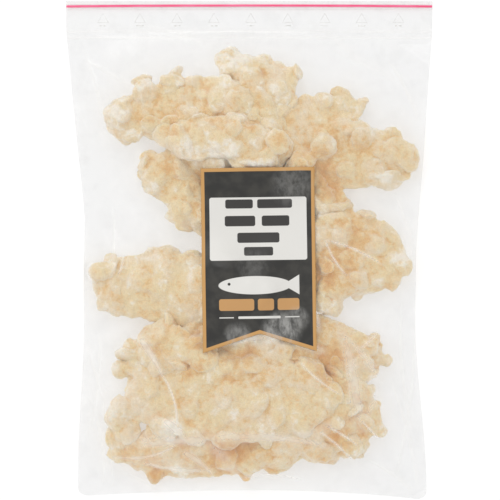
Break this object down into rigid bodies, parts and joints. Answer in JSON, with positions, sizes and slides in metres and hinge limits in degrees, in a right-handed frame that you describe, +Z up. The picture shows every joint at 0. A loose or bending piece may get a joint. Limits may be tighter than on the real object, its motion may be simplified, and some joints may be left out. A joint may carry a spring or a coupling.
{
  "type": "zip bag of battered fish fillets",
  "caption": "Clear zip bag of pale battered fish fillets, lying flat, with a dark swallow-tailed label and a pink zip bead.",
  "frame": {"origin": "under the middle of the bag's outline, on the surface that it lies on", "axes": "+Y along the bag, towards the zip end; +Z up, out of the labelled side; +X across the bag"},
  "size_m": [0.255, 0.3466, 0.0344],
  "materials": {
    "film": "clear glossy film, a little hazy where it is creased or doubled",
    "crust": "pale rough batter, cream on the knobs and tan in the hollows",
    "label": "dark printed label with a gold edge and a white panel, satin gloss",
    "zip_track": "translucent pink zip bead"
  },
  "bodies": {
    "root": {"bag": "film", "label": "label", "zip_track": "zip_track"}
  },
  "joints": []
}
